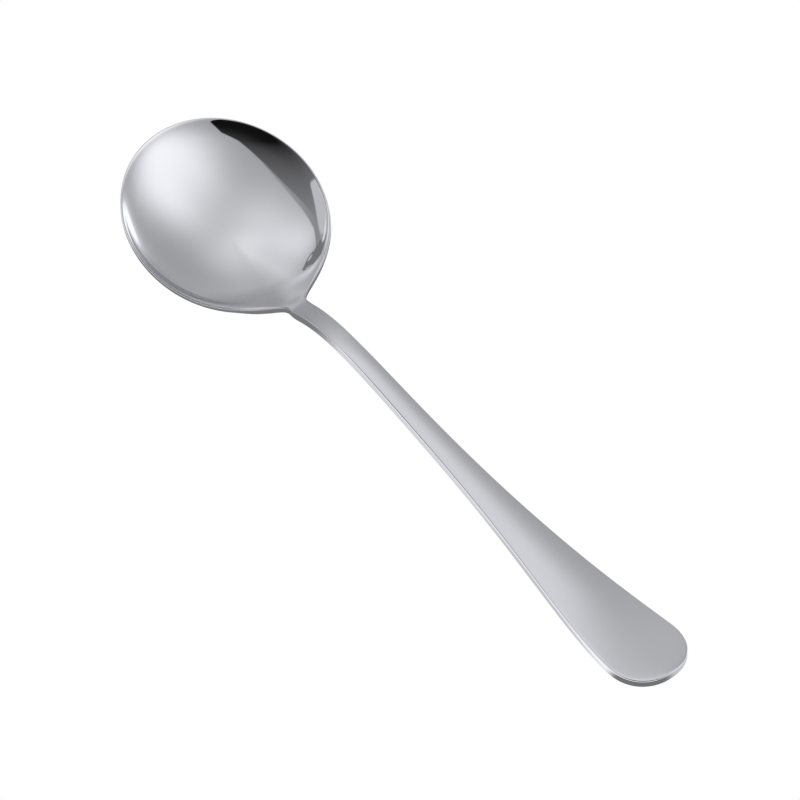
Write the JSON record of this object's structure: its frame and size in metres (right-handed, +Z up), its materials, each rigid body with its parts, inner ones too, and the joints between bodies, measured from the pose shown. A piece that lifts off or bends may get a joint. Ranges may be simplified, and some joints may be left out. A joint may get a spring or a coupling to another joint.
{
  "type": "soup spoon",
  "caption": "Round soup spoon stamped from polished steel: a shallow round bowl with a steep lip, a flat land by the neck, a slim neck and a plain handle that widens to an upturned end.",
  "frame": {"origin": "centre of the bounding box in X and Y, on the table that the spoon lies on", "axes": "+X along the spoon from the front of the bowl to the end of the handle, +Z up out of the bowl, and the XZ plane is the spoon's plane of symmetry"},
  "size_m": [0.175, 0.0454, 0.0147],
  "materials": {
    "steel": "polished stainless steel, mirror bright in the bowl and a little softer along the handle"
  },
  "bodies": {
    "root": {"bowl": "steel", "neck": "steel", "handle": "steel"}
  },
  "joints": []
}
